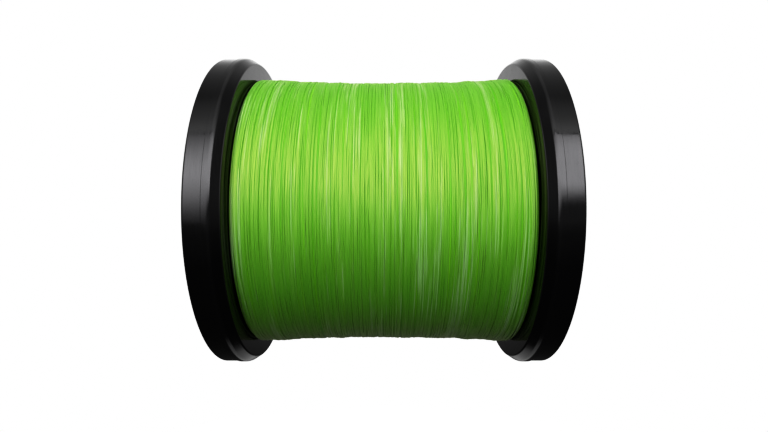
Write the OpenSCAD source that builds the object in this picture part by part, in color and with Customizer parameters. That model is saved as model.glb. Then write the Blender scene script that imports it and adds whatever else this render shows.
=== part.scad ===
// Fishing line spool: a ribbed barrel, two flanges with pressed-on outer covers, and a full winding.
// The axis lies along X, and the origin is on the axis, half way along the spool. Millimetres.

/* [Spool] */
// Diameter of the smooth part of each rim
rim_d = 100; // [96:1:110]
// Length over both end faces
spool_length = 100.5; // [100:0.5:110]
// Length between the flanges' inner faces
traverse = 81.7; // [78:0.1:82.5]
// Diameter of the hole for the spindle
arbor_d = 16; // [12:0.5:18]

/* [Rim] */
// Width of the raised band on each flange's rim
band_w = 1.95; // [1:0.05:2.2]
// How far the raised band stands out from the cover's skirt
band_h = 0.25; // [0:0.05:0.5]
// Width of the bevel along the axis
bevel_w = 2.55; // [1.5:0.05:3]
// How far the bevel's lower edge lies below the smooth part of the rim
bevel_h = 1.4; // [0.5:0.1:2]
// Radius of the rounded outer edge of each cover
edge_r = 0.4; // [0.3:0.1:1.5]

/* [Barrel] */
// Outside diameter of the barrel that the line is wound on
barrel_d = 63; // [56:1:66]
// Wall thickness of the barrel
barrel_wall = 2.2; // [1.5:0.1:3]
// Wall thickness of the inner arbor tube
arbor_wall = 2.2; // [1.5:0.1:3]
// Number of ribs between the arbor tube and the barrel
barrel_ribs = 6; // [3:1:8]

/* [Flange] */
// Thickness of the flange's disc
disc_t = 2.2; // [1.5:0.1:2.5]
// Length of the collar that holds each flange in the barrel
collar_length = 4; // [2:0.5:6]
// Number of ribs behind each flange's disc
flange_ribs = 12; // [6:1:16]
// Thickness of the ribs
rib_t = 1.6; // [1:0.1:2.5]

/* [Cover] */
// Thickness of the cover's end wall
cover_t = 2; // [1.5:0.1:2.4]
// Depth of the shallow recess in the cover's end face
recess_depth = 0.8; // [0.3:0.1:1]
// Outside diameter of the recess
recess_d = 84; // [70:1:88]
// Inside diameter of the recess, round the hub
recess_inner_d = 34; // [30:1:44]

/* [Line] */
// Diameter of the winding half way along
winding_d = 85.5; // [80:0.5:88]
// How much higher the winding stands beside the flanges
winding_rise = 1.1; // [0:0.1:1.5]
// Radius of the winding's rounded shoulders
shoulder_r = 1.6; // [0.5:0.1:2.5]
// Gap between the winding and each flange
winding_gap = 0.3; // [0.1:0.1:0.6]
// Thickness of the adhesive tapes
tape_t = 0.15; // [0.1:0.05:0.2]
// Width of the adhesive tapes
tape_w = 18; // [10:1:20]
// Angle that the outer end's tape covers
end_tape_angle = 56; // [30:2:80]

/* [Hidden] */
$fn = 96;
fit_gap = 0.05;             // radial gap where a collar or skirt sits on its seat
hub_gap = 0.15;             // radial gap round the arbor tube
rim_r = rim_d / 2;
half_length = spool_length / 2;
face_x = traverse / 2;                              // inner face of a flange
bevel_x = face_x + bevel_w;                         // where the bevel meets the raised band
seam_x = bevel_x + band_w;                          // where the cover's skirt starts
cover_x = half_length - cover_t;                    // inner side of the cover's end wall
skirt_t = 2;                                        // wall of the cover's skirt
lip_r = rim_r - skirt_t - fit_gap;                  // flange's lip, inside the skirt
lip_t = 2.4;
arbor_r = arbor_d / 2;
arbor_outer_r = arbor_r + arbor_wall;
hub_r = arbor_outer_r + hub_gap;
hub_t = 2.6;
barrel_r = barrel_d / 2;
collar_r = barrel_r - barrel_wall - fit_gap;
collar_t = 2;
rib_end_gap = 1;                                    // between the barrel's ribs and a collar
rib_gap = 1;                                        // between a flange's ribs and its cover
winding_half = face_x - winding_gap;
winding_r = winding_d / 2;
shoulder_x = winding_half - shoulder_r;
bed = 0.02;                                         // gap between a winding or tape and what it lies on
anchor_tape_x = -winding_half + 4;
end_tape_x = 6;
end_tape_start = 74;                                // angle round the axis, from -Z towards +Y
arc_steps = 6;                                      // straight pieces in a quarter round
join = 0.5;                                         // how far the shapes of one moulding reach into each other
mouth = 0.6;                                        // chamfer at each end of the arbor hole

// Radius of the winding at a place along the axis: lowest half way, highest at the shoulders
function winding_r_at(x) = winding_r + winding_rise * pow(x / shoulder_x, 2);

// Turns an outline of [radius, place along the axis] into a solid of revolution about X
module turned(points) {
    rotate([0, 90, 0]) rotate_extrude() polygon(points);
}

// A plain ring about X
module ring(r_in, r_out, x0, x1) {
    turned([[r_in, x0], [r_out, x0], [r_out, x1], [r_in, x1]]);
}

// Flat ribs in a ring about X, between two radii
module ribs(count, r_in, r_out, x0, x1) {
    for (i = [0:count - 1])
        rotate([i * 360 / count, 0, 0])
            translate([x0, -rib_t / 2, r_in]) cube([x1 - x0, rib_t, r_out - r_in]);
}

// Core that the line is wound on: outer shell, inner arbor tube and the ribs that join them
module barrel() {
    rib_half = face_x - collar_length - rib_end_gap;
    color("#141415") union() {
        ring(barrel_r - barrel_wall, barrel_r, -face_x, face_x);
        turned([
            [arbor_r + mouth, -half_length], [arbor_outer_r, -half_length], [arbor_outer_r, half_length],
            [arbor_r + mouth, half_length], [arbor_r, half_length - mouth], [arbor_r, mouth - half_length]
        ]);
        ribs(barrel_ribs, arbor_outer_r - join, barrel_r - barrel_wall + join, -rib_half, rib_half);
    }
}

// Flange on the +X side: disc, bevelled and banded rim, lip for the cover, hub, ribs and collar
module flange() {
    disc_x = face_x + disc_t;
    lip_inner_r = lip_r - lip_t;
    hub_outer_r = hub_r + hub_t;
    color("#0e0e0f") union() {
        turned([
            [hub_r, face_x], [rim_r - bevel_h, face_x], [rim_r + band_h, bevel_x],
            [rim_r + band_h, seam_x], [lip_r, seam_x], [lip_r, cover_x], [lip_inner_r, cover_x],
            [lip_inner_r, disc_x], [hub_outer_r, disc_x], [hub_outer_r, cover_x], [hub_r, cover_x]
        ]);
        ring(collar_r - collar_t, collar_r, face_x - collar_length, face_x + join);
        ribs(flange_ribs, hub_outer_r - join, lip_inner_r + join, disc_x - join, cover_x - rib_gap);
    }
}

// Quarter-round outer edge of the cover, as outline points
function round_edge(r, x, radius, steps) =
    [for (i = [0:steps]) [r - radius + radius * cos(90 * i / steps), x - radius + radius * sin(90 * i / steps)]];

// Cover on the +X side: skirt over the flange's lip, and an end wall with a shallow recess
module cover() {
    color("#101011") {
        turned(concat(
            [[rim_r - skirt_t, seam_x], [rim_r, seam_x]],
            round_edge(rim_r, half_length, edge_r, arc_steps),
            [
                [recess_d / 2, half_length], [recess_d / 2, half_length - recess_depth],
                [recess_inner_d / 2, half_length - recess_depth], [recess_inner_d / 2, half_length],
                [hub_r, half_length], [hub_r, cover_x], [rim_r - skirt_t, cover_x]
            ]
        ));
    }
}

module left_flange() { mirror([1, 0, 0]) flange(); }
module right_flange() { flange(); }
module left_cover() { mirror([1, 0, 0]) cover(); }
module right_cover() { cover(); }

// Turn of tape round the barrel, over the first turns of line
module anchor_tape() {
    color("#d8d2bd")
        ring(barrel_r + bed, barrel_r + bed + tape_t, anchor_tape_x, anchor_tape_x + tape_w);
}

// Outline of the winding's outer surface: a shallow hollow between two rounded shoulders
function winding_outline(steps) = concat(
    [for (i = [0:steps])
        let (a = 90 * i / steps)
        [winding_r_at(shoulder_x) - shoulder_r + shoulder_r * sin(a), -shoulder_x - shoulder_r * cos(a)]],
    [for (i = [1:2 * steps - 1])
        let (x = -shoulder_x + shoulder_x * i / steps)
        [winding_r_at(x), x]],
    [for (i = [0:steps])
        let (a = 90 - 90 * i / steps)
        [winding_r_at(shoulder_x) - shoulder_r + shoulder_r * sin(a), shoulder_x + shoulder_r * cos(a)]]
);

// The wound line, as one closed ring with room for the tape under it
module line_winding() {
    bore_r = barrel_r + bed;
    tape_top = barrel_r + 2 * bed + tape_t;
    tape_x0 = anchor_tape_x - bed;
    tape_x1 = anchor_tape_x + tape_w + bed;
    color("#5cc81e")
        turned(concat(
            winding_outline(arc_steps),
            [
                [bore_r, winding_half], [bore_r, tape_x1], [tape_top, tape_x1],
                [tape_top, tape_x0], [bore_r, tape_x0], [bore_r, -winding_half]
            ]
        ));
}

// Strip of clear tape over the line's outer end, behind the spool
module end_tape() {
    x0 = end_tape_x;
    x1 = end_tape_x + tape_w;
    r0 = winding_r_at(x0) + bed;
    r1 = winding_r_at(x1) + bed;
    color("#eef2e4")
        rotate([end_tape_start, 0, 0]) rotate([0, 90, 0]) rotate_extrude(angle = end_tape_angle)
            polygon([[r0, x0], [r0 + tape_t, x0], [r1 + tape_t, x1], [r1, x1]]);
}

barrel();
left_flange();
right_flange();
left_cover();
right_cover();
anchor_tape();
line_winding();
end_tape();
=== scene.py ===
# %% [markdown]
# # A fishing line spool
#
# The object is a bulk spool of braided fishing line: a black moulded spool with thick flanges, wound full of
# lime-green line. The CAD model already says where every piece is and how big it is. This script only makes
# the pieces look real: it turns smooth mouldings with small rounded edges, winds the outer turns of line one
# by one, and gives every piece a material.

# %% Load the CAD frame
import math

import bmesh
import bpy
import numpy as np
from mathutils import Matrix, Vector


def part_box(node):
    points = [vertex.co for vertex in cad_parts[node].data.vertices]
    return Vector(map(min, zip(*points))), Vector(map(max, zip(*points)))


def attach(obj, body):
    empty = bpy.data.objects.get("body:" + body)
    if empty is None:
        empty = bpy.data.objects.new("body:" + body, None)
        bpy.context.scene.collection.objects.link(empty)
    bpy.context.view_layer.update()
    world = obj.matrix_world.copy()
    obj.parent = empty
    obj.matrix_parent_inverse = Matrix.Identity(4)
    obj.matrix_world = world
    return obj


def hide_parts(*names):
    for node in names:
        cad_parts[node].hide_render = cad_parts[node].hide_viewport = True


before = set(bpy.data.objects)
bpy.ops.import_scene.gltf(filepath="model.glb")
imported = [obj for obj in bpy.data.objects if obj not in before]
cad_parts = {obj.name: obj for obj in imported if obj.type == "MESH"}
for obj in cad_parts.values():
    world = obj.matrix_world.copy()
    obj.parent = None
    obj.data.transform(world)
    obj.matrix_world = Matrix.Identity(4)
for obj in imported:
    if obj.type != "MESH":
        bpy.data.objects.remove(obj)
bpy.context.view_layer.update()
MM = 0.001

# %% [markdown]
# ## Sizes
#
# The outer sizes are read from the CAD nodes, so the looks can never drift away from the design. The axis of
# the spool is X, and the spool is the same at both ends, so one half of it is measured. All values are in
# millimetres until a mesh is made.

# %% Measure the mouldings
flange_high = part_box("right_flange")[1] / MM
cover_low, cover_high = (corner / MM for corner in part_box("right_cover"))
wind_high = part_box("line_winding")[1] / MM

half_length = cover_high.x
rim_r = cover_high.z
band_r = flange_high.z
seam_x = cover_low.x
end_wall_x = flange_high.x
wind_half = wind_high.x
print(f"half length {half_length:.2f}, rim radius {rim_r:.2f}, band radius {band_r:.2f}, seam at {seam_x:.2f}")

# %% Sizes inside the boxes, which the boxes don't give
FACE_X = 40.85          # inner face of a flange
BEVEL_X = 43.4          # where the bevel meets the raised band
BEVEL_H = 1.4           # how far the bevel's lower edge lies below the cover's skirt
DISC_T = 2.2            # thickness of the flange's disc
HUB_IN, HUB_OUT = 10.35, 12.95                          # radii, as in the next three lines
LIP_IN, LIP_OUT = 45.55, 47.95
SKIRT_IN = 48.0
COLLAR_X, COLLAR_IN, COLLAR_OUT = 36.85, 27.25, 29.25   # where the collar ends, and its radii
RECESS_IN, RECESS_OUT, RECESS_DEPTH = 17.0, 42.0, 0.8   # radii of the end face's recess, and its depth
WAIST_R = 42.75         # the winding's radius half way along
WAIST_RISE = 1.1        # how much higher it stands at its shoulders
SHOULDER_R = 1.6        # round of the winding's shoulders
BARREL_R = 31.5
LINE_D = 0.46           # a heavy braid

# %% [markdown]
# ## Camera
#
# A camera close to a round object shows strong perspective: the near side of each flange hides the far side
# of the winding. So the lens is a wide one, held close and level with the axis. The small shift puts the
# spool a hair to the left, where a hand-held framing left it.

# %% Place the camera
camera_data = bpy.data.cameras.new("camera")
camera = bpy.data.objects.new("camera", camera_data)
bpy.context.scene.collection.objects.link(camera)
camera_data.lens = 23.52            # mm, on a sensor 36 mm wide
camera_data.sensor_width = 36
camera_data.shift_x = -0.0025
camera_data.shift_y = -0.0008
camera_data.clip_start = 0.01
camera.location = Vector((0.53, -173.9, -1.7)) * MM
camera.rotation_euler = (math.radians(90), 0, 0)
bpy.context.scene.camera = camera
print("camera", round(-camera.location.y / MM, 1), "mm from the axis, lens", camera_data.lens, "mm")

# %% [markdown]
# ## Tone curve
#
# A camera doesn't record light in proportion: it deepens the shadows a little and holds the highlights. So the
# plain Standard view gets a gentle S curve. Black stays black and white stays white.

# %% Set the tone curve
TONES = [(0.05, 0.016), (0.1, 0.040), (0.2, 0.112), (0.3, 0.21), (0.4, 0.35), (0.5, 0.49), (0.7, 0.72)]
view = bpy.context.scene.view_settings
view.view_transform = "Standard"
view.use_curve_mapping = True
tone = view.curve_mapping.curves[3]
for light, shown in TONES:
    tone.points.new(light, shown)
view.curve_mapping.update()
print("tone curve with", len(tone.points), "points")

# %% [markdown]
# ## Node and colour helpers
#
# Colours are written as the hex values that a paint program shows, and one function turns them into the
# linear numbers that a renderer works with. One other function adds a shader node together with its settings
# and its links, so that a material reads from top to bottom.

# %% Helpers for materials
def linear(hex_colour, alpha=1.0):
    parts = [int(hex_colour[i:i + 2], 16) / 255 for i in (1, 3, 5)]
    return (*[p / 12.92 if p <= 0.04045 else ((p + 0.055) / 1.055) ** 2.4 for p in parts], alpha)


def add(tree, kind, inputs=None, stops=(), **settings):
    """Adds a node. stops holds (place, colour) pairs, for a colour ramp."""
    node = tree.nodes.new(kind)
    for name, value in settings.items():
        setattr(node, name, value)
    for i, (place, colour) in enumerate(stops):
        band = node.color_ramp.elements
        stop = band[i] if i < len(band) else band.new(place)
        stop.position, stop.color = place, colour
    for socket, value in (inputs or {}).items():
        if isinstance(value, bpy.types.NodeSocket):
            tree.links.new(value, node.inputs[socket])
        else:
            node.inputs[socket].default_value = value
    return node


def new_material(name):
    material = bpy.data.materials.new(name)
    material.use_nodes = True
    material.node_tree.nodes.clear()
    return material, material.node_tree

# %% [markdown]
# ## Studio
#
# The surroundings are plain white for the eye, but the light isn't: most of it comes from one soft panel in
# front and above. The room round it is dim, with a bright wall behind, a glow on the ceiling above the panel,
# a faint strip of light straight above and one below, and pale end walls. Black gloss shows almost nothing but
# reflections, so this room is what draws the rims. Seen along the axis, each direction has an angle: 0 is
# towards the viewer, 90 straight up, and 180 to the wall behind. The room's light is a set of ramps over that
# angle and over how far sideways a direction points. Two small fill lamps light the top and the back without
# showing in the gloss. The panel and the floor are part of the stage and not of the object.

# %% World: white to the camera, a soft room to everything else
world = bpy.data.worlds.new("studio")
world.use_nodes = True
bpy.context.scene.world = world
sky = world.node_tree
sky.nodes.clear()
direction = add(sky, "ShaderNodeSeparateXYZ", {0: add(sky, "ShaderNodeTexCoord").outputs["Generated"]})
towards = add(sky, "ShaderNodeMath", {0: direction.outputs["Y"], 1: -1.0}, operation="MULTIPLY")
roll = add(sky, "ShaderNodeMath", {0: direction.outputs["Z"], 1: towards.outputs[0]}, operation="ARCTAN2")
turn = add(sky, "ShaderNodeMapRange",
           {"Value": roll.outputs[0], "From Min": -math.pi, "From Max": math.pi, "To Min": 0, "To Max": 1})
ROOM_LIGHT = [      # degrees, light level where a white wall is 1
    (-180, 1.0), (-174, 0.3), (-162, 0.05), (-103, 0.05), (-40, 0.1), (-16, 0.25), (-5, 0.55), (18, 0.6),
    (50, 0.6), (88, 0.5), (130, 0.65), (150, 1.0), (180, 1.0),
]
GLOW = [(46, 0.0), (50, 1.0), (57, 0.85), (67, 0.4), (86, 0.0)]     # on the ceiling, above the panel
GLOW_LEVEL = 2.0
# One strip of light below the spool and one above it
STRIPS = [(-160, 0), (-148, 0.6), (-112, 0.6), (-100, 0), (50, 0.0), (75, 0.3), (105, 0.3), (125, 0.0)]
# Share of the room's light that is left, by how far sideways a direction points
SIDES = [(0, 1), (0.28, 1), (0.36, 0.75), (0.68, 0.75), (0.8, 0.15), (0.88, 0.15), (0.96, 0.75)]


def grey_stops(levels, low, high):
    """Stops for a colour ramp, from pairs of a place between low and high and a light level."""
    return [((place - low) / (high - low), (light, light, light, 1)) for place, light in levels]


room = add(sky, "ShaderNodeValToRGB", {"Fac": turn.outputs[0]}, stops=grey_stops(ROOM_LIGHT, -180, 180))
glow = add(sky, "ShaderNodeValToRGB", {"Fac": turn.outputs[0]}, stops=grey_stops(GLOW, -180, 180))
strips = add(sky, "ShaderNodeValToRGB", {"Fac": turn.outputs[0]}, stops=grey_stops(STRIPS, -180, 180))
aside = add(sky, "ShaderNodeMath", {0: direction.outputs["X"]}, operation="ABSOLUTE")
within = add(sky, "ShaderNodeMapRange",
             {"Value": aside.outputs[0], "From Min": 0.4, "From Max": 0.6, "To Min": GLOW_LEVEL, "To Max": 0},
             interpolation_type="SMOOTHSTEP")
# The end walls of the room glow too, brighter towards the top, so that the spool's end faces have a shine.
ends = add(sky, "ShaderNodeMapRange",
           {"Value": aside.outputs[0], "From Min": 0.68, "From Max": 0.9, "To Min": 0, "To Max": 1},
           interpolation_type="SMOOTHSTEP")
height = add(sky, "ShaderNodeMapRange",
             {"Value": direction.outputs["Z"], "From Min": -0.3, "From Max": 0.5, "To Min": 0.2, "To Max": 2.0},
             interpolation_type="SMOOTHSTEP")
ends_lit = add(sky, "ShaderNodeMath", {0: ends.outputs[0], 1: height.outputs[0]}, operation="MULTIPLY")
middle = add(sky, "ShaderNodeMapRange",
             {"Value": aside.outputs[0], "From Min": 0.14, "From Max": 0.26, "To Min": 1, "To Max": 0},
             interpolation_type="SMOOTHSTEP")
sideways = add(sky, "ShaderNodeValToRGB", {"Fac": aside.outputs[0]}, stops=grey_stops(SIDES, 0, 1))
walls = add(sky, "ShaderNodeMix", {"Factor": 1.0, "A": room.outputs["Color"], "B": sideways.outputs["Color"]},
            data_type="RGBA", blend_type="MULTIPLY")
with_strips = add(sky, "ShaderNodeMix", {"Factor": middle.outputs[0], "A": walls.outputs["Result"],
                                         "B": strips.outputs["Color"]},
                  data_type="RGBA", blend_type="ADD", clamp_factor=False)
with_ends = add(sky, "ShaderNodeMix", {"Factor": ends_lit.outputs[0], "A": with_strips.outputs["Result"],
                                       "B": (1, 1, 1, 1)},
                data_type="RGBA", blend_type="ADD", clamp_factor=False)
lit = add(sky, "ShaderNodeMix", {"Factor": within.outputs[0], "A": with_ends.outputs["Result"],
                                 "B": glow.outputs["Color"]},
          data_type="RGBA", blend_type="ADD", clamp_factor=False)
seen = add(sky, "ShaderNodeLightPath").outputs["Is Camera Ray"]
level = add(sky, "ShaderNodeMix", {"Factor": seen, "A": lit.outputs["Result"], "B": (1, 1, 1, 1)},
            data_type="RGBA")
background = add(sky, "ShaderNodeBackground", {"Color": level.outputs["Result"]})
add(sky, "ShaderNodeOutputWorld", {"Surface": background.outputs[0]})
print("world made of", len(ROOM_LIGHT) + len(GLOW) + len(STRIPS), "light levels")

# %% [markdown]
# The panel is brightest in its middle and fades towards its lower and upper edges. Only its reflections are
# seen, never the panel itself. The floor is a pale disc that fades into the white around it.


# %% Soft panel, fill lamps and floor
def stage_plate(name, width, height):
    mesh = bpy.data.meshes.new(name)
    bm = bmesh.new()
    bmesh.ops.create_grid(bm, x_segments=1, y_segments=1, size=0.5)
    bmesh.ops.scale(bm, vec=(width, height, 1), verts=bm.verts)
    bm.to_mesh(mesh)
    bm.free()
    plate = bpy.data.objects.new(name, mesh)
    bpy.context.scene.collection.objects.link(plate)
    return plate


PANEL_DISTANCE, PANEL_RISE, PANEL_WIDTH, PANEL_HEIGHT = 0.8, 22, 0.84, 0.96     # metres, and degrees up
PANEL_LIGHT, EDGE_LIGHT = 6.9, 0.45     # strength where the panel is full, and at its dim lower edge
FRAME = 0.02                            # black upper rim of the panel
panel = stage_plate("soft_panel", PANEL_WIDTH, PANEL_HEIGHT)
rise = math.radians(PANEL_RISE)
panel.location = (0, -PANEL_DISTANCE * math.cos(rise), PANEL_DISTANCE * math.sin(rise))
panel.rotation_euler = (math.radians(90) - rise, 0, 0)
panel.visible_camera = False
panel_material, tree = new_material("panel_glow")
place = add(tree, "ShaderNodeSeparateXYZ", {0: add(tree, "ShaderNodeTexCoord").outputs["Object"]})
# The light fades towards the panel's lower edge, slowly at its left end and faster at its right end.
dim_at = add(tree, "ShaderNodeMath", {0: place.outputs["X"], 1: 0.4, 2: -0.415}, operation="MULTIPLY_ADD")
full_at = add(tree, "ShaderNodeMath", {0: place.outputs["X"], 1: -0.17, 2: 0.01}, operation="MULTIPLY_ADD")
lower = add(tree, "ShaderNodeMapRange",
            {"Value": place.outputs["Y"], "From Min": dim_at.outputs[0], "From Max": full_at.outputs[0],
             "To Min": EDGE_LIGHT, "To Max": PANEL_LIGHT},
            interpolation_type="SMOOTHSTEP")
high_side = add(tree, "ShaderNodeMath", {0: place.outputs["X"], 1: -0.25, 2: place.outputs["Y"]},
                operation="MULTIPLY_ADD")
upper = add(tree, "ShaderNodeMapRange",
            {"Value": high_side.outputs[0], "From Min": 0.12, "From Max": 0.6, "To Min": 1.0, "To Max": 0.4},
            interpolation_type="SMOOTHSTEP")
inside = add(tree, "ShaderNodeMath", {0: place.outputs["Y"], 1: PANEL_HEIGHT / 2 - FRAME},
             operation="LESS_THAN")
shine = add(tree, "ShaderNodeMath", {0: lower.outputs[0], 1: upper.outputs[0]}, operation="MULTIPLY")
shown = add(tree, "ShaderNodeMath", {0: shine.outputs[0], 1: inside.outputs[0]}, operation="MULTIPLY")
lamp = add(tree, "ShaderNodeEmission", {"Color": linear("#FDFCFF"), "Strength": shown.outputs[0]})
add(tree, "ShaderNodeOutputMaterial", {"Surface": lamp.outputs[0]})
panel.data.materials.append(panel_material)


def fill_lamp(name, place, size, power):
    """A square lamp aimed at the spool, which gloss doesn't mirror. Metres and watts."""
    lamp_data = bpy.data.lights.new(name, "AREA")
    lamp_data.size = size
    lamp_data.energy = power
    lamp_object = bpy.data.objects.new(name, lamp_data)
    lamp_object.location = place
    lamp_object.rotation_euler = Vector(place).to_track_quat("Z", "Y").to_euler()
    lamp_object.visible_glossy = False
    bpy.context.scene.collection.objects.link(lamp_object)


fill_lamp("overhead_fill", (0, -0.05, 0.5), 0.4, 0.6)
fill_lamp("back_fill", (0, 0.7, 0.3), 0.6, 2.2)

floor = stage_plate("floor", 6, 6)
floor.location = (0, 0, -0.2)
floor.visible_diffuse = False
floor.visible_glossy = False
floor_material, tree = new_material("pale_floor")
place = add(tree, "ShaderNodeTexCoord").outputs["Object"]
distance = add(tree, "ShaderNodeVectorMath", {0: place}, operation="LENGTH")
fade = add(tree, "ShaderNodeMapRange",
           {"Value": distance.outputs["Value"], "From Min": 0.12, "From Max": 0.36, "To Min": 1.0, "To Max": 0.0},
           interpolation_type="SMOOTHSTEP")
paint = add(tree, "ShaderNodeBsdfDiffuse", {"Color": (0.9, 0.9, 0.9, 1)})
clear = add(tree, "ShaderNodeBsdfTransparent")
blend = add(tree, "ShaderNodeMixShader", {0: fade.outputs[0], 1: clear.outputs[0], 2: paint.outputs[0]})
add(tree, "ShaderNodeOutputMaterial", {"Surface": blend.outputs[0]})
floor.data.materials.append(floor_material)
print("stage made")

# %% [markdown]
# ## Black moulded plastic
#
# The spool is injection-moulded ABS: black all through, and glossy because the steel mould was polished.
# Its IOR is 1.52. Two things keep it from looking like a computer's black: the skin has a very faint
# orange-peel swell where it shrank from the mould, and handling leaves a haze of fine scuffs that run round
# the rims. The haze changes only the roughness, because the black goes all through and can't wear off.

# %% Black ABS
def make_plastic(name, base, rough_low, rough_high, swell):
    material, tree = new_material(name)
    where = add(tree, "ShaderNodeTexCoord").outputs["Object"]
    haze = add(tree, "ShaderNodeTexNoise",
               {"Vector": where, "Scale": 1 / (14 * MM), "Detail": 4, "Roughness": 0.6})
    scuffs = add(tree, "ShaderNodeTexNoise", {
        "Vector": add(tree, "ShaderNodeMapping",
                      {"Vector": where, "Scale": (1, 0.06, 0.06)}).outputs[0],
        "Scale": 1 / (0.5 * MM), "Detail": 3, "Roughness": 0.7})
    wear = add(tree, "ShaderNodeMath",
               {0: scuffs.outputs["Fac"], 1: haze.outputs["Fac"]}, operation="MULTIPLY")
    rough = add(tree, "ShaderNodeMapRange",
                {"Value": wear.outputs[0], "From Min": 0.15, "From Max": 0.42,
                 "To Min": rough_low, "To Max": rough_high})
    peel = add(tree, "ShaderNodeTexNoise", {"Vector": where, "Scale": 1 / (3 * MM), "Detail": 1})
    bump = add(tree, "ShaderNodeBump",
               {"Height": peel.outputs["Fac"], "Strength": swell, "Distance": 0.05 * MM})
    plastic = add(tree, "ShaderNodeBsdfPrincipled", {
        "Base Color": linear(base), "Roughness": rough.outputs[0], "IOR": 1.52, "Normal": bump.outputs[0]})
    add(tree, "ShaderNodeOutputMaterial", {"Surface": plastic.outputs[0]})
    return material


gloss_black = make_plastic("polished_black_abs", "#030304", 0.07, 0.2, 0.2)
satin_black = make_plastic("satin_black_abs", "#0B0B0C", 0.34, 0.5, 0.5)
print("plastics made")

# %% [markdown]
# ## Braided line
#
# The line is polyethylene braid with a coloured wax-like coating. It is dyed as a loose skein, so the dye takes
# a little differently along its length: a full spool is a mix of deep green, yellow-green and a few pale waxy
# runs. The tube's own UV map runs along the line, and slow noise along it gives each turn its own shade. The pale
# runs are partly real thin dye and partly a painted sheen: the short glints of a twisted braid, put into the
# colour.
# A second noise, drawn out round the spool, paints whole bands paler: that is a painted sheen too, not a dye. The
# weave of the braid is a small crossed pattern with a real pitch
# of about a millimetre. The wax is soft and slightly yellow: its shine is broad and takes a yellow tint. The
# plastic's own IOR is 1.54, but the many fibres of a braid each turn a little shine towards the eye, so the
# value is set higher.

# %% Coated braid
TURN_LENGTH = 2 * math.pi * WAIST_R
BRAID_PITCH = 1.1       # mm
# Deep green to pale. The pale end is partly real pale dye and partly painted sheen.
DYE_AND_SHEEN_STOPS = [
    (0.2, linear("#418E02")), (0.45, linear("#438F02")), (0.65, linear("#4E9120")), (0.85, linear("#74A266")),
]


def make_line_material(name, line_length):
    material, tree = new_material(name)
    uv = add(tree, "ShaderNodeSeparateXYZ", {0: add(tree, "ShaderNodeUVMap").outputs[0]})
    along = add(tree, "ShaderNodeMath", {0: uv.outputs["X"], 1: line_length}, operation="MULTIPLY").outputs[0]
    runs = add(tree, "ShaderNodeTexNoise", {"W": along, "Scale": 1 / 45, "Detail": 3, "Roughness": 0.6},
               noise_dimensions="1D")
    where = add(tree, "ShaderNodeMapping", {
        "Vector": add(tree, "ShaderNodeTexCoord").outputs["Object"], "Scale": (1, 0.05, 0.05)})
    # Painted sheen: pale bands drawn out round the spool, mixed into the base colour.
    sheen_bands = add(tree, "ShaderNodeTexNoise", {
        "Vector": where.outputs[0], "Scale": 1 / (3.5 * MM), "Detail": 2})
    shade = add(tree, "ShaderNodeMix", {"Factor": 0.5, "A": runs.outputs["Fac"], "B": sheen_bands.outputs["Fac"]},
                data_type="FLOAT")
    spread = add(tree, "ShaderNodeMapRange", {"Value": shade.outputs["Result"], "From Min": 0.3, "From Max": 0.7})
    dye = add(tree, "ShaderNodeValToRGB", {"Fac": spread.outputs[0]}, stops=DYE_AND_SHEEN_STOPS)
    lengthwise = add(tree, "ShaderNodeMath", {0: along, 1: 2 * math.pi / BRAID_PITCH}, operation="MULTIPLY")
    around = add(tree, "ShaderNodeMath", {0: uv.outputs["Y"], 1: 4 * math.pi}, operation="MULTIPLY")
    weave = []
    for sense in ("ADD", "SUBTRACT"):
        angle = add(tree, "ShaderNodeMath", {0: lengthwise.outputs[0], 1: around.outputs[0]}, operation=sense)
        weave.append(add(tree, "ShaderNodeMath", {0: angle.outputs[0]}, operation="SINE").outputs[0])
    picks = add(tree, "ShaderNodeMath", {0: weave[0], 1: weave[1]}, operation="MULTIPLY")
    bump = add(tree, "ShaderNodeBump", {"Height": picks.outputs[0], "Strength": 0.35, "Distance": 0.03 * MM})
    coated = add(tree, "ShaderNodeBsdfPrincipled", {
        "Base Color": dye.outputs["Color"], "Roughness": 0.62, "IOR": 1.82, "Specular IOR Level": 1.0,
        "Specular Tint": linear("#FFE9A8"), "Coat Weight": 0.45, "Coat Roughness": 0.5, "Normal": bump.outputs[0]})
    add(tree, "ShaderNodeOutputMaterial", {"Surface": coated.outputs[0]})
    return material


# %% [markdown]
# ## Turned mouldings
#
# Flanges, covers and the core of the winding are all solids of revolution, so each is drawn as half an
# outline and spun round X, as on a lathe. A moulded edge is never sharp. The outline's corners are bevelled
# before the spin, which gives each edge a small round that catches a line of light.

# %% Lathe
LATHE_STEPS = 240


def finish_mesh(name, bm, material):
    mesh = bpy.data.meshes.new(name)
    bm.to_mesh(mesh)
    bm.free()
    mesh.materials.append(material)
    piece = bpy.data.objects.new(name, mesh)
    bpy.context.scene.collection.objects.link(piece)
    return piece


SUPPORT = 0.12          # a short flat beside each round keeps the long flats truly flat


def with_supports(outline):
    """Adds a point beside both ends of each rounded corner."""
    points = []
    for i, (x, r, edge) in enumerate(outline):
        corner = Vector((x, r))
        before, after = (Vector(outline[(i + step) % len(outline)][:2]) for step in (-1, 1))
        beside = [corner + (other - corner).normalized() * (edge + SUPPORT) for other in (before, after)]
        points += [(*beside[0], 0), (x, r, edge), (*beside[1], 0)] if edge else [(x, r, edge)]
    return points


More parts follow.
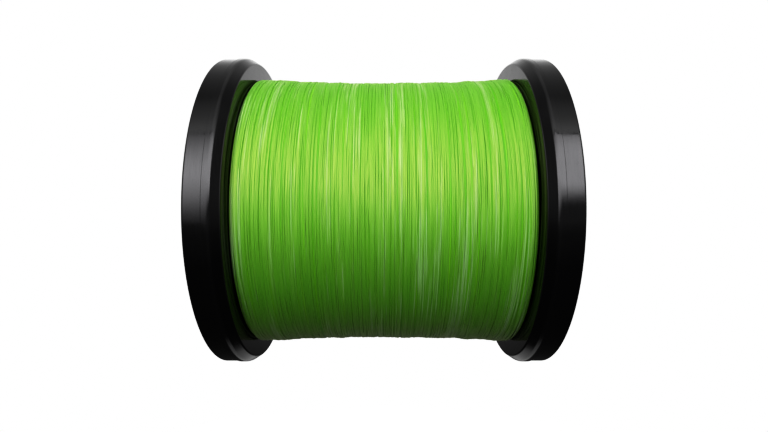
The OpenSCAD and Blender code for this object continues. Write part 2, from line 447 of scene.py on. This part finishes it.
def spin_outline(outline, steps=LATHE_STEPS, turn=2 * math.pi):
    """outline holds (x, radius, edge round) in mm, in order round the section."""
    outline = with_supports(outline)
    bm = bmesh.new()
    corners = [bm.verts.new((x * MM, 0, r * MM)) for x, r, _ in outline]
    for a, b in zip(corners, corners[1:] + corners[:1]):
        bm.edges.new((a, b))
    for corner, (_, _, radius) in zip(list(corners), outline):
        if radius:
            bmesh.ops.bevel(bm, geom=[corner], offset=radius * MM, offset_type="OFFSET", segments=4,
                            profile=0.5, affect="VERTICES", material=-1)
    bmesh.ops.spin(bm, geom=list(bm.verts) + list(bm.edges), cent=(0, 0, 0), axis=(1, 0, 0), angle=turn,
                   steps=steps, use_merge=turn > 6)
    bmesh.ops.recalc_face_normals(bm, faces=bm.faces)
    return bm


def smooth_by_angle(piece, degrees=25):
    piece.data.shade_smooth()
    piece.data.set_sharp_from_angle(angle=math.radians(degrees))


def about_axis(degrees):
    return Matrix.Rotation(math.radians(degrees), 3, "X")


def mirrored(bm):
    bmesh.ops.scale(bm, vec=(-1, 1, 1), verts=bm.verts)
    bmesh.ops.reverse_faces(bm, faces=bm.faces)
    return bm


# %% [markdown]
# ### Flanges
#
# Each flange is a thin disc with a bevelled edge, a raised band, a lip that its cover sits on, a hub and a
# collar that goes into the barrel. Twelve ribs behind the disc keep it flat. They are cut boxes, fused to the
# disc with a boolean so that the moulding stays one closed skin.

# %% Turn the flanges
FLANGE_OUTLINE = [
    (FACE_X, HUB_IN, 0), (FACE_X, COLLAR_IN, 0),
    (COLLAR_X, COLLAR_IN, 0), (COLLAR_X, COLLAR_OUT, 0), (FACE_X, COLLAR_OUT, 0),
    (FACE_X, rim_r - BEVEL_H, 0.3), (BEVEL_X, band_r, 0.55), (seam_x, band_r, 0.05),
    (seam_x, LIP_OUT, 0), (end_wall_x, LIP_OUT, 0), (end_wall_x, LIP_IN, 0), (FACE_X + DISC_T, LIP_IN, 0),
    (FACE_X + DISC_T, HUB_OUT, 0), (end_wall_x, HUB_OUT, 0), (end_wall_x, HUB_IN, 0),
]
RIB_COUNT, RIB_T = 12, 1.6
RIB_JOIN = 0.5          # how far a rib reaches into what it joins
RIB_GAP = 1.0           # between a rib and the cover


def make_ribs():
    bm = bmesh.new()
    x0, x1 = FACE_X + DISC_T - RIB_JOIN, end_wall_x - RIB_GAP
    r0, r1 = HUB_OUT - RIB_JOIN, LIP_IN + RIB_JOIN
    for i in range(RIB_COUNT):
        box = bmesh.ops.create_cube(bm, size=1)["verts"]
        bmesh.ops.scale(bm, vec=Vector((x1 - x0, RIB_T, r1 - r0)) * MM, verts=box)
        bmesh.ops.translate(bm, vec=Vector(((x0 + x1) / 2, 0, (r0 + r1) / 2)) * MM, verts=box)
        bmesh.ops.rotate(bm, cent=(0, 0, 0), matrix=about_axis(360 * i / RIB_COUNT), verts=box)
    return bm


def fuse(piece, tool):
    """Joins tool to piece with an exact boolean, and leaves one plain mesh."""
    cut = piece.modifiers.new("fuse", "BOOLEAN")
    cut.operation = "UNION"
    cut.solver = "EXACT"
    cut.object = tool
    bpy.context.view_layer.update()
    graph = bpy.context.evaluated_depsgraph_get()
    fused = bpy.data.meshes.new_from_object(piece.evaluated_get(graph), depsgraph=graph)
    piece.modifiers.remove(cut)
    piece.data = fused
    bpy.data.objects.remove(tool)


def make_flange(name, left):
    piece = finish_mesh(name, spin_outline(FLANGE_OUTLINE), gloss_black)
    fuse(piece, finish_mesh(name + "_ribs", make_ribs(), gloss_black))
    if left:
        bm = bmesh.new()
        bm.from_mesh(piece.data)
        mirrored(bm).to_mesh(piece.data)
        bm.free()
    smooth_by_angle(piece)
    return piece


for side in ("left", "right"):
    flange = make_flange(side + "_flange_moulding", side == "left")
    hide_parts(side + "_flange")
    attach(flange, "root")
    print(flange.name, len(flange.data.polygons), "faces")

# %% [markdown]
# ### Covers
#
# A cover closes the hollow side of each flange. Its skirt is the wide smooth part of the rim, and it meets
# the flange's band at a fine seam. The end wall has a shallow recess between a rim land and a hub land.

# %% Turn the covers
SEAM_GAP = 0.01
COVER_OUTLINE = [
    (seam_x + SEAM_GAP, SKIRT_IN, 0), (seam_x + SEAM_GAP, rim_r, 0.04), (half_length, rim_r, 0.4),
    (half_length, RECESS_OUT, 0.2), (half_length - RECESS_DEPTH, RECESS_OUT, 0.2),
    (half_length - RECESS_DEPTH, RECESS_IN, 0.2), (half_length, RECESS_IN, 0.2),
    (half_length, HUB_IN, 0.3), (end_wall_x, HUB_IN, 0), (end_wall_x, SKIRT_IN, 0),
]

for side in ("left", "right"):
    bm = spin_outline(COVER_OUTLINE)
    cover = finish_mesh(side + "_cover_moulding", mirrored(bm) if side == "left" else bm, gloss_black)
    smooth_by_angle(cover)
    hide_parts(side + "_cover")
    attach(cover, "root")
    print(cover.name, len(cover.data.polygons), "faces")

# %% [markdown]
# ## The winding
#
# About a kilometre of line fills the spool, and only the outer turns can be seen. The hidden rest is one
# turned solid. The outer turns are laid one after another, as a winding machine lays them: the guide runs to
# and fro, a little faster or slower each pass, and the line wanders sideways as it settles between the turns
# below. A height map of the spool's surface records what lies there already, and each new stretch of line
# rests on the highest thing under it. Tension smooths the line over the small gaps. That gives the real
# surface of a spool: strands that cross at very small angles, thin wedges between them and fine dark gaps.

# %% Shape of the full winding
SHOULDER_X = wind_half - SHOULDER_R
UNEVEN = 0.2               # line piles up a little more in some places than in others
hump_x = np.linspace(-SHOULDER_X, SHOULDER_X, 26)
humps = np.random.default_rng(3).uniform(-UNEVEN, UNEVEN, len(hump_x))


def outline_radius(x):
    """The winding's outer radius in mm at x, for numbers or arrays."""
    side = np.abs(x)
    crown = WAIST_R + WAIST_RISE * np.minimum(side / SHOULDER_X, 1) ** 2 + np.interp(x, hump_x, humps)
    past = np.clip(side - SHOULDER_X, 0, SHOULDER_R)
    return crown - SHOULDER_R + np.sqrt(SHOULDER_R ** 2 - past ** 2)


# %% Path of the guide
STEPS = 96                 # points in a turn
WARM_TURNS = 150           # laid first to make an uneven bed, and not drawn
DRAWN_TURNS = 450
TRAVEL = wind_half - 0.1   # how far the guide goes to each side
SHORT_PASS, LONG_PASS = 12, 50      # turns in a pass from flange to flange
WANDER, WANDER_SPACING = 0.3, 44    # how far the line strays sideways in mm, and over how many points
ROUNDING = 14              # points over which the turn-round at a flange is rounded
END_X = 15.0               # where the last turn ends, under the tape behind the spool
END_ANGLE = 20             # degrees from straight behind, towards the top
END_TURNS = 4              # the last turns, which lead the line to its end
rng = np.random.default_rng(7)


def smooth_noise(count, spacing, size):
    """Slow random wander: random values every spacing points, joined by a smooth curve."""
    knots = rng.normal(0, size, count // spacing + 4)
    raw = np.interp(np.arange(count + spacing) / spacing, np.arange(len(knots)), knots)
    window = np.hanning(spacing + 2)
    return np.convolve(raw, window / window.sum(), mode="same")[:count]


def guide_path(turns):
    """The line's place along the axis: passes from flange to flange, and a wander."""
    passes = rng.uniform(SHORT_PASS, LONG_PASS, turns // SHORT_PASS)
    reversals = np.concatenate([[0], np.cumsum(passes)]) * STEPS
    ends = TRAVEL * np.where(np.arange(len(reversals)) % 2, 1, -1)
    count = turns * STEPS
    x = np.interp(np.arange(count), reversals, ends) + smooth_noise(count, WANDER_SPACING, WANDER)
    x = np.clip(x, -TRAVEL, TRAVEL)
    window = np.hanning(ROUNDING)
    half = ROUNDING // 2
    return np.convolve(np.pad(x, half, mode="edge"), window / window.sum(), mode="same")[half:-half]


# %% Lay the line turn by turn
CELL = 0.04                # size of the height map's cells along the axis, in mm
MARGIN = 0.5               # of height map past the guide's travel, in mm
LOOK = 10                  # points to each side over which tension evens out the height
SAG = 0.35                 # how far the line gives way to what lies under it, where 1 is a limp line
columns = int(2 * (TRAVEL + 2 * MARGIN) / CELL)
height_map = np.zeros((STEPS, columns))
reach = int(LINE_D / 2 / CELL)
offsets = np.arange(-reach, reach + 1)
cap = np.sqrt((LINE_D / 2) ** 2 - (offsets * CELL) ** 2)
tension = np.hanning(2 * LOOK + 1)
tension /= tension.sum()


def lay(x):
    """Heights in mm of the line's centre along the path x, each stretch resting on what lies there."""
    heights = np.zeros(len(x))
    column = np.round((x + TRAVEL + MARGIN) / CELL).astype(int)
    for start in range(0, len(x), STEPS):
        span = np.arange(start, min(start + STEPS, len(x)))
        ahead = np.arange(max(start - LOOK, 0), min(span[-1] + LOOK + 1, len(x)))
        rows = ahead % STEPS
        under = height_map[rows[:, None], column[ahead][:, None] + offsets]
        resting = (under + cap).max(1)
        smooth = np.convolve(np.pad(resting, LOOK, mode="edge"), tension, mode="same")[LOOK:-LOOK]
        held = np.maximum(smooth, SAG * resting + (1 - SAG) * smooth)
        heights[span] = held[span - ahead[0]]
        rows = span % STEPS
        cells = column[span][:, None] + offsets
        top = heights[span][:, None] + cap
        height_map[rows[:, None], cells] = np.maximum(height_map[rows[:, None], cells], top)
    return heights


turns = WARM_TURNS + DRAWN_TURNS
path_x = guide_path(turns)
last = END_TURNS * STEPS
blend_in = np.linspace(0, 1, last)
path_x[-last:] = path_x[-last] * (1 - blend_in) + END_X * blend_in
path_h = lay(path_x)
surface = path_h[-60 * STEPS:]
print("heights of the last 60 turns: mean", surface.mean().round(2), "spread", surface.std().round(3))

# %% [markdown]
# The raw heights grow with every layer and are far rougher than a real spool, because braid is soft: it
# flattens where it crosses and sinks in between its neighbours. So the heights are squeezed about the level of
# the surface, and that level is set to the winding's own outline. The line is then a curve with a round
# section, which Blender turns into a tube with a UV map along it. It is drawn as three lengths, end to end, to
# keep each mesh light.

# %% Make the tubes
SQUEEZE = 0.06             # share of each height difference that is left
SURFACE_RANK = 80          # percentile of the heights that counts as the surface
DEEPEST, HIGHEST = -1.6, 0.22       # limits for a strand's place against the outline, in mm


def tube(name, points, diameter, material):
    curve = bpy.data.curves.new(name, "CURVE")
    curve.dimensions = "3D"
    curve.bevel_depth = diameter / 2
    curve.bevel_resolution = 1
    curve.use_fill_caps = True
    spline = curve.splines.new("POLY")
    spline.points.add(len(points) - 1)
    spline.points.foreach_set("co", np.c_[points, np.ones(len(points))].ravel())
    carrier = bpy.data.objects.new(name + "_curve", curve)
    bpy.context.scene.collection.objects.link(carrier)
    graph = bpy.context.evaluated_depsgraph_get()
    mesh = bpy.data.meshes.new_from_object(carrier.evaluated_get(graph), depsgraph=graph)
    bpy.data.objects.remove(carrier)
    mesh.name = name
    mesh.materials.clear()
    mesh.materials.append(material)
    mesh.shade_smooth()
    piece = bpy.data.objects.new(name, mesh)
    bpy.context.scene.collection.objects.link(piece)
    return piece


drawn = slice(WARM_TURNS * STEPS, None)
x = path_x[drawn]
h = path_h[drawn]
rise_over = np.clip((h - np.percentile(h, SURFACE_RANK)) * SQUEEZE, DEEPEST, HIGHEST)
radius = outline_radius(x) - LINE_D / 2 + rise_over
first_angle = math.radians(END_ANGLE) - 2 * math.pi * len(x) / STEPS
angle = first_angle + 2 * math.pi * np.arange(len(x)) / STEPS
points = np.c_[x, radius * np.cos(angle), radius * np.sin(angle)] * MM

lengths = ("inner", "middle", "outer")
braid = make_line_material("lime_braid", TURN_LENGTH * DRAWN_TURNS / len(lengths))
count = len(points) // len(lengths)
for i, name in enumerate(lengths):
    stretch = points[i * count:(i + 1) * count + 1]     # each length ends where the next one starts
    turns_piece = tube("line_turns_" + name, stretch, LINE_D * MM, braid)
    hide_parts("line_winding")
    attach(turns_piece, "root")
    print(turns_piece.name, len(turns_piece.data.polygons), "faces")

# %% [markdown]
# ### The hidden pack
#
# Under the drawn turns lies the rest of the line. It shows only through the gaps, so it is a turned solid
# with fine ridges round it, a strand's pitch apart, and about the same dye. Its surface is a little deeper than
# the middle of the outer strands, so only their upper halves stand out of it.

# %% Turn the pack
PACK_DEPTH = 0.27       # below the winding's outline


def make_pack_material(name):
    material, tree = new_material(name)
    where = add(tree, "ShaderNodeSeparateXYZ", {0: add(tree, "ShaderNodeTexCoord").outputs["Object"]})
    ridge = add(tree, "ShaderNodeMath", {0: where.outputs["X"], 1: 2 * math.pi / (LINE_D * MM)},
                operation="MULTIPLY")
    wave = add(tree, "ShaderNodeMath", {0: ridge.outputs[0]}, operation="SINE")
    bands = add(tree, "ShaderNodeMath", {0: where.outputs["X"], 1: 1 / (0.9 * MM)}, operation="MULTIPLY")
    shade = add(tree, "ShaderNodeTexNoise", {"W": bands.outputs[0], "Scale": 1.0, "Detail": 2},
                noise_dimensions="1D")
    dye = add(tree, "ShaderNodeValToRGB", {"Fac": shade.outputs["Fac"]},
              stops=[(0.3, linear("#56960C")), (0.7, linear("#70A626"))])
    bump = add(tree, "ShaderNodeBump", {"Height": wave.outputs[0], "Strength": 0.5, "Distance": 0.1 * MM})
    packed = add(tree, "ShaderNodeBsdfPrincipled", {
        "Base Color": dye.outputs["Color"], "Roughness": 0.5, "Normal": bump.outputs[0]})
    add(tree, "ShaderNodeOutputMaterial", {"Surface": packed.outputs[0]})
    return material


stations = np.linspace(-wind_half + 0.3, wind_half - 0.3, 41)
outer = [(s, float(outline_radius(s)) - PACK_DEPTH, 0) for s in stations]
pack_outline = outer + [(stations[-1], BARREL_R + 0.25, 0), (stations[0], BARREL_R + 0.25, 0)]
pack = finish_mesh("line_pack", spin_outline(pack_outline), make_pack_material("packed_braid"))
smooth_by_angle(pack, 40)
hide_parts("line_winding")
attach(pack, "root")
print(pack.name, len(pack.data.polygons), "faces")

# %% [markdown]
# ## Tapes and barrel
#
# The barrel keeps its CAD mesh, because its shape is right and only its hole and end rings can be seen. It is
# the same ABS from a plainer mould, so it is satin. The tape under the line is crepe paper, creased across. The
# tape behind the spool is a clear film that holds the line's end: a thin strip that follows the winding's
# hollow waist.

# %% Barrel and inner tape
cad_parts["barrel"].data.materials.clear()
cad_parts["barrel"].data.materials.append(satin_black)

crepe, tree = new_material("crepe_paper_tape")
where = add(tree, "ShaderNodeTexCoord").outputs["Object"]
folds = add(tree, "ShaderNodeTexNoise", {
    "Vector": add(tree, "ShaderNodeMapping", {"Vector": where, "Scale": (0.2, 1, 1)}).outputs[0],
    "Scale": 1 / (0.8 * MM), "Detail": 2})
# Painted shade: the paper is darker where the crinkle is low and lighter on its ridges.
tint = add(tree, "ShaderNodeValToRGB", {"Fac": folds.outputs["Fac"]},
           stops=[(0.3, linear("#CFC4A0")), (0.7, linear("#E2DABD"))])
crinkle = add(tree, "ShaderNodeBump", {"Height": folds.outputs["Fac"], "Strength": 0.6, "Distance": 0.1 * MM})
paper = add(tree, "ShaderNodeBsdfPrincipled", {
    "Base Color": tint.outputs["Color"], "Roughness": 0.85, "Normal": crinkle.outputs[0]})
add(tree, "ShaderNodeOutputMaterial", {"Surface": paper.outputs[0]})
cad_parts["anchor_tape"].data.materials.clear()
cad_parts["anchor_tape"].data.materials.append(crepe)

# %% Clear tape over the line's end
film, tree = new_material("clear_tape_film")
where = add(tree, "ShaderNodeTexCoord").outputs["Object"]
ripple = add(tree, "ShaderNodeTexNoise", {"Vector": where, "Scale": 1 / (2.5 * MM), "Detail": 1})
lift = add(tree, "ShaderNodeBump", {"Height": ripple.outputs["Fac"], "Strength": 0.5, "Distance": 0.1 * MM})
cloud = add(tree, "ShaderNodeMapRange", {"Value": ripple.outputs["Fac"], "To Min": 0.06, "To Max": 0.14})
sheet = add(tree, "ShaderNodeBsdfPrincipled", {
    "Base Color": linear("#DDE4C8"), "Roughness": 0.12, "IOR": 1.48, "Specular IOR Level": 1.0,
    "Alpha": cloud.outputs[0], "Normal": lift.outputs[0]})
add(tree, "ShaderNodeOutputMaterial", {"Surface": sheet.outputs[0]})

tape_low, tape_high = (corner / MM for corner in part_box("end_tape"))
TAPE_START, TAPE_TURN = -16, 56     # degrees: start from straight behind, and length
TAPE_T, TAPE_LIFT = 0.06, 0.12      # thickness, and height above the winding's outline
across = np.linspace(tape_low.x, tape_high.x, 13)
under = [(s, float(outline_radius(s)) + TAPE_LIFT, 0) for s in across]
over = [(s, r + TAPE_T, 0) for s, r, _ in reversed(under)]
bm = spin_outline(under + over, steps=60, turn=math.radians(TAPE_TURN))
bmesh.ops.holes_fill(bm, edges=[e for e in bm.edges if e.is_boundary], sides=0)
bmesh.ops.recalc_face_normals(bm, faces=bm.faces)
bmesh.ops.rotate(bm, cent=(0, 0, 0), matrix=about_axis(TAPE_START - 90), verts=bm.verts)
tape = finish_mesh("end_tape_strip", bm, film)
smooth_by_angle(tape, 40)
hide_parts("end_tape")
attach(tape, "root")
print(tape.name, len(tape.data.polygons), "faces")
